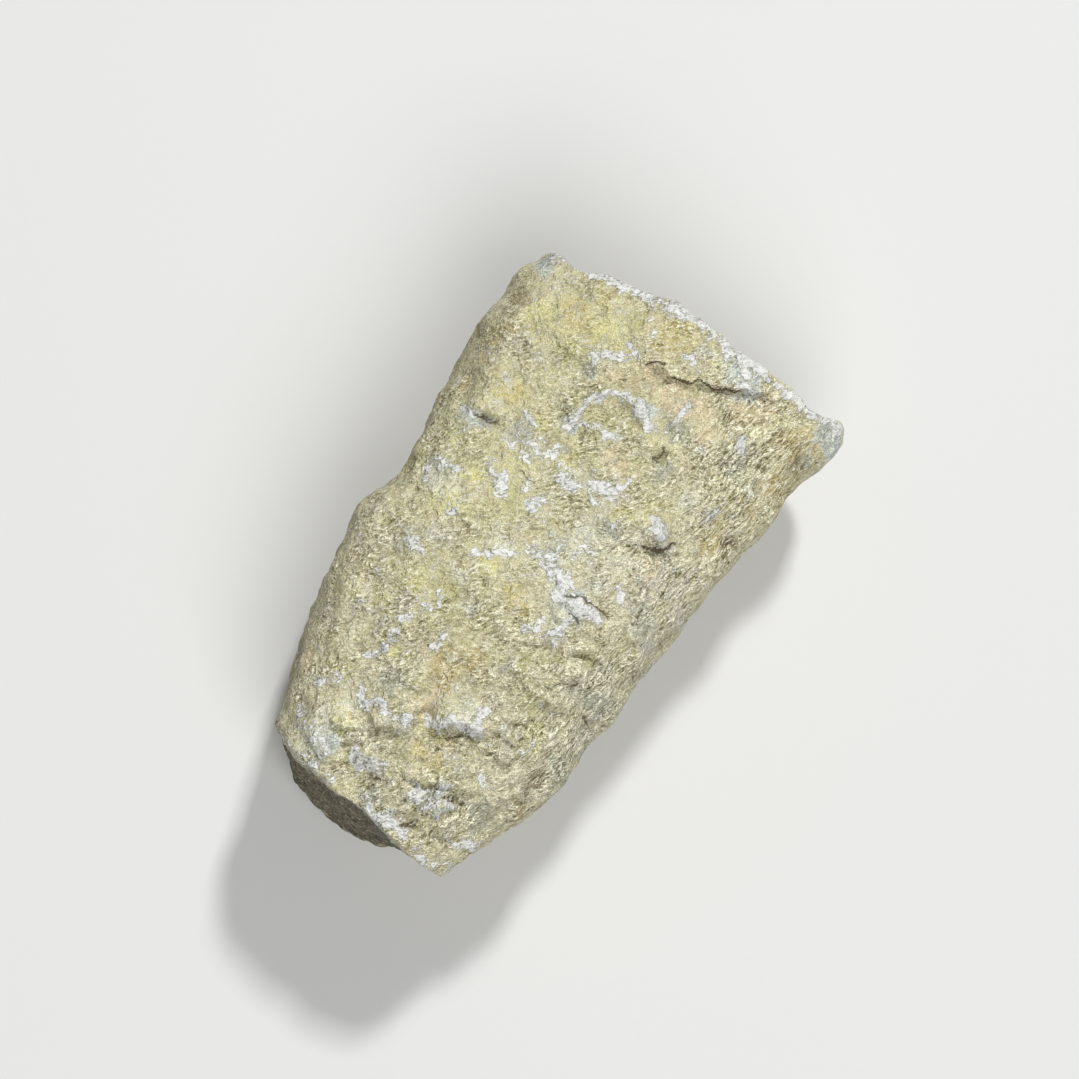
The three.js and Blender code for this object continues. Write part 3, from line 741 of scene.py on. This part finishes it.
def limestone(values):
    paints = {name: paint(*colour) for name, colour in values["paints"].items()}
    waves = values["paintWaves"]
    material = bpy.data.materials.new("weatheredLimestone")
    nodes = Nodes(material)
    streaky, hollowShade = nodes.attribute("streaky"), nodes.attribute("hollowShade")
    crust, ends = nodes.attribute("crust"), nodes.attribute("ends")
    place = nodes.add("ShaderNodeTexCoord", output=3)
    apart = (0.031, 0.017, 0.043)  # far enough for noises not to line up
    shifted = nodes.add("ShaderNodeVectorMath", {"operation": "ADD"}, {0: place, 1: apart})
    sway = nodes.noise(place, waves["sway"], 1, 0.5, output=1)
    bent = nodes.add("ShaderNodeVectorMath", {"operation": "MULTIPLY_ADD"},
                     {0: sway, 1: (mm, mm, mm), 2: place})

    # the grain: short strokes that lie one way, and run in streaks where the stone is streaky
    lying = nodes.drawnOut(bent, values["lying"])
    even = nodes.noise(lying, waves["grain"], 1, 0.55, 0.3)
    drawn = nodes.noise(nodes.drawnOut(bent, values["streaks"]), waves["streaks"], 1, 0.5, 0.2)
    grain = even + (drawn - even) * streaky
    small = nodes.noise(lying, waves["smallGrain"], 1, 0.5)
    dust = nodes.noise(place, waves["dust"], 0)
    patch = nodes.mask(nodes.noise(place, waves["patches"], 2), 0.42, 0.6)
    rough = (1 - nodes.attribute("plain") * 0.75) * (0.5 + patch * 0.6 + streaky * 0.45)
    bright = nodes.mask(grain + (small - 0.5) * 0.25, 0.54, 0.58)
    dark = nodes.mask(1 - grain + (small - 0.5) * 0.25, 0.56, 0.6)
    blotch = nodes.noise(place, waves["blotches"], 2, 0.55)
    cloud = nodes.noise(shifted, waves["clouds"], 2, 0.55)
    fleck = nodes.noise(shifted, waves["flecks"], 2, 0.6, 0.6)

    # the ground colours, then the broad tints and the stains
    ground = nodes.mask(nodes.noise(shifted, waves["ground"], 2), 0.42, 0.58)
    colour = nodes.mix(ground, paints["tan"], paints["sand"])
    colour = nodes.mix(nodes.mask(blotch, 0.46, 0.68) * 0.55, colour, paints["yellow"])
    colour = nodes.mix(nodes.mask(cloud, 0.48, 0.68) * 0.4, colour, paints["lilac"])
    colour = nodes.mix(nodes.mask(1 - blotch, 0.5, 0.68) * 0.35, colour, paints["rose"])
    # the olive tint also darkens the colour as painted shade
    for name, tint, strength in (("warm", "yellow", 0.3), ("cool", "lilac", 0.25), ("oliveTintAndShade", "olive", 0.35)):
        colour = nodes.mix(nodes.attribute(name) * strength, colour, paints[tint])
    for i, name in enumerate(values["stains"]):
        reading = blotch if i % 2 else cloud
        grainy = 0.5 if name in ("slate", "grey", "pale", "olive") else 0.2
        amount = nodes.mask(nodes.attribute(name) * 0.5 + reading + (grain - 0.5) * grainy, 0.54, 0.92)
        colour = nodes.mix(amount * 0.9, colour, paints[name])

    # light and dark flecks and strokes, with fewer light and more dark ones in hollows as painted shade
    light = nodes.mask(fleck + (grain - 0.5) * 0.5 - hollowShade * 0.3, 0.53, 0.64)
    glint = nodes.mask(small, 0.52, 0.64)
    lighter = (light * (0.2 + bright * 0.3) + bright * 0.34 + glint * 0.34) * rough
    colour = nodes.mix(lighter, colour, paints["cream"])
    deep = nodes.mask(1 - fleck - (grain - 0.5) * 0.5 + hollowShade * 0.5, 0.55, 0.67)
    darker = (deep * (0.2 + dark * 0.3) + dark * 0.25) * rough
    colour = nodes.mix(darker, colour, paints["shade"])

    # dust around the crusts, painted shade on the broken narrow end, and the worn back
    dusty = nodes.mask(crust + (fleck - 0.5) * 0.8, 0.18, 0.65)
    colour = nodes.mix(dusty * 0.65, colour, paints["dusty"])
    broken = nodes.mix(bright * 0.6 + glint * 0.3 + light * 0.3, paints["ends"], paints["shadedEndFlecks"])
    # the narrow end's face painted dark as shade
    colour = nodes.mix(ends * 0.92, colour, broken)
    colour = nodes.mix(nodes.attribute("back") * (1 - ends) * 0.6, colour, paints["back"])
    gain = (glint * 0.1 - dark * 0.2 - nodes.mask(1 - small, 0.54, 0.61) * 0.32) * rough
    # painted light on the lit patches and painted shade on the dim ones
    lit, dim = nodes.attribute("lit") * 0.12, nodes.attribute("dim") * 0.1
    # the colour is darker in hollows, as painted shade
    colour = nodes.scale(colour, 1.09 + gain + (dust - 0.5) - hollowShade * 0.7 + lit - dim)

    # white crusts: solid inside, with a painted shadow along their brink, and lacy where they are thin
    chalky = crust + (fleck - 0.5) * 1.1 + (grain - 0.5) * 0.5
    brink = chalky + (grain - 0.5) * 0.7 + (small - 0.5) * 0.5
    solid = nodes.mask(brink, 0.52, 0.59) * (0.86 + nodes.mask(fleck, 0.42, 0.56) * 0.12)
    lacy = nodes.mask(chalky * 0.75 + (grain - 0.5) * 1.2 + (small - 0.5) * 0.9, 0.5, 0.56) * 0.7
    white = solid.orMore(lacy) * (1 - ends * 0.8)
    chalk = nodes.mix(dark * 0.45, paints["chalk"], paints["chalkShade"])
    # a thin painted shadow around each crust, as if cast by its thickness
    colour = nodes.scale(colour, 1 - nodes.mask(brink, 0.42, 0.5) * 0.16)
    colour = nodes.mix(white, colour, nodes.scale(chalk, 1 + gain * 0.6))

    # thin cracks with uneven edges, painted dark as the shade inside them
    offLine = (nodes.attribute("crackSide") + (small - 0.5) * 0.4 + (fleck - 0.5) * 0.4).absolute()
    crack = (1 - nodes.mask(offLine, 0.03, 0.14)) * nodes.attribute("crackStrength")
    colour = nodes.mix(crack, colour, paints["crack"])

    height = (grain * 0.95 + small * 0.5 + bright * 0.2 - dark * 0.3) * rough
    height = height + fleck * 2.4 + white * 0.7 - crack * 0.6
    bump = nodes.add("ShaderNodeBump", {},
                     {"Height": height, "Distance": values["bumpHeight"] * mm, "Strength": 1.0})
    shader = nodes.add("ShaderNodeBsdfPrincipled", {},
                       {"Base Color": colour, "Normal": bump, "Roughness": values["roughness"],
                        "Specular IOR Level": 0.25})
    nodes.add("ShaderNodeOutputMaterial", {}, {"Surface": shader})
    return material


print("Painting the stone")
stonePiece.data.materials.append(limestone(stone))
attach(stonePiece, "root")
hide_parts("crinoid_fossil")

studio = {
    "aim": (2.4, 1.57, 17.25),  # mm
    "distance": 300,
    "mmPerPixel": 0.084,  # at the aim
    "pixels": 1079,  # across the image
    "sensor": 36,  # mm
    "tilt": 10,  # degrees off straight down, towards the narrow end
    "roll": 57.5,
    # the way to each lamp from the aim (right, up and towards the camera), how far in m, its size and power
    "lamps": {
        "key": ((0.3, 0.74, 0.6), 1.2, 0.14, 10.5),
        "fill": ((0.2, -0.45, 0.85), 1.2, 0.9, 10.5),
    },
    "skyStrength": 0.16,
    "floor": (216, 216, 214),
    "floorSize": 2,  # m from its middle to each side
}


def viewAxes(values):
    tilt, roll = math.radians(values["tilt"]), math.radians(values["roll"])
    ahead = Vector((math.sin(tilt), 0, -math.cos(tilt)))
    level, side = Vector((math.cos(tilt), 0, math.sin(tilt))), Vector((0, 1, 0))
    right = math.cos(roll) * level - math.sin(roll) * side
    up = math.sin(roll) * level + math.cos(roll) * side
    return right, up, ahead


def addCamera(values):
    right, up, ahead = viewAxes(values)
    data = bpy.data.cameras.new("camera")
    data.sensor_width = values["sensor"]
    data.lens = values["sensor"] * values["distance"] / (values["mmPerPixel"] * values["pixels"])
    data.clip_start, data.clip_end = 0.01, 10
    camera = bpy.data.objects.new("camera", data)
    camera.matrix_world = Matrix((right, up, -ahead)).transposed().to_4x4()
    camera.location = (Vector(values["aim"]) - ahead * values["distance"]) * mm
    bpy.context.collection.objects.link(camera)
    bpy.context.scene.camera = camera


def addLamps(values):
    right, up, ahead = viewAxes(values)
    for name, (direction, distance, size, power) in values["lamps"].items():
        data = bpy.data.lights.new(name, "AREA")
        data.size, data.energy = size, power
        lamp = bpy.data.objects.new(name, data)
        away = (right * direction[0] + up * direction[1] - ahead * direction[2]).normalized()
        lamp.location = Vector(values["aim"]) * mm + away * distance
        lamp.rotation_euler = away.to_track_quat("Z", "Y").to_euler()
        bpy.context.collection.objects.link(lamp)


def addSky(values):
    world = bpy.data.worlds.new("studio")
    bpy.context.scene.world = world
    world.use_nodes = True
    background = world.node_tree.nodes["Background"].inputs
    background["Color"].default_value = (1, 1, 1, 1)
    background["Strength"].default_value = values["skyStrength"]


def addFloor(values):
    shape = bmesh.new()
    bmesh.ops.create_grid(shape, x_segments=1, y_segments=1, size=values["floorSize"])
    mesh = bpy.data.meshes.new("floor")
    shape.to_mesh(mesh)
    shape.free()
    floor = bpy.data.objects.new("floor", mesh)
    bpy.context.collection.objects.link(floor)
    material = bpy.data.materials.new("paleFloor")
    nodes = Nodes(material)
    shader = nodes.add("ShaderNodeBsdfPrincipled", {},
                       {"Base Color": paint(*values["floor"]), "Roughness": 0.8})
    nodes.add("ShaderNodeOutputMaterial", {}, {"Surface": shader})
    mesh.materials.append(material)


print("Setting up the studio")
addFloor(studio)
addCamera(studio)
addLamps(studio)
addSky(studio)
bpy.context.scene.view_settings.view_transform = "Standard"
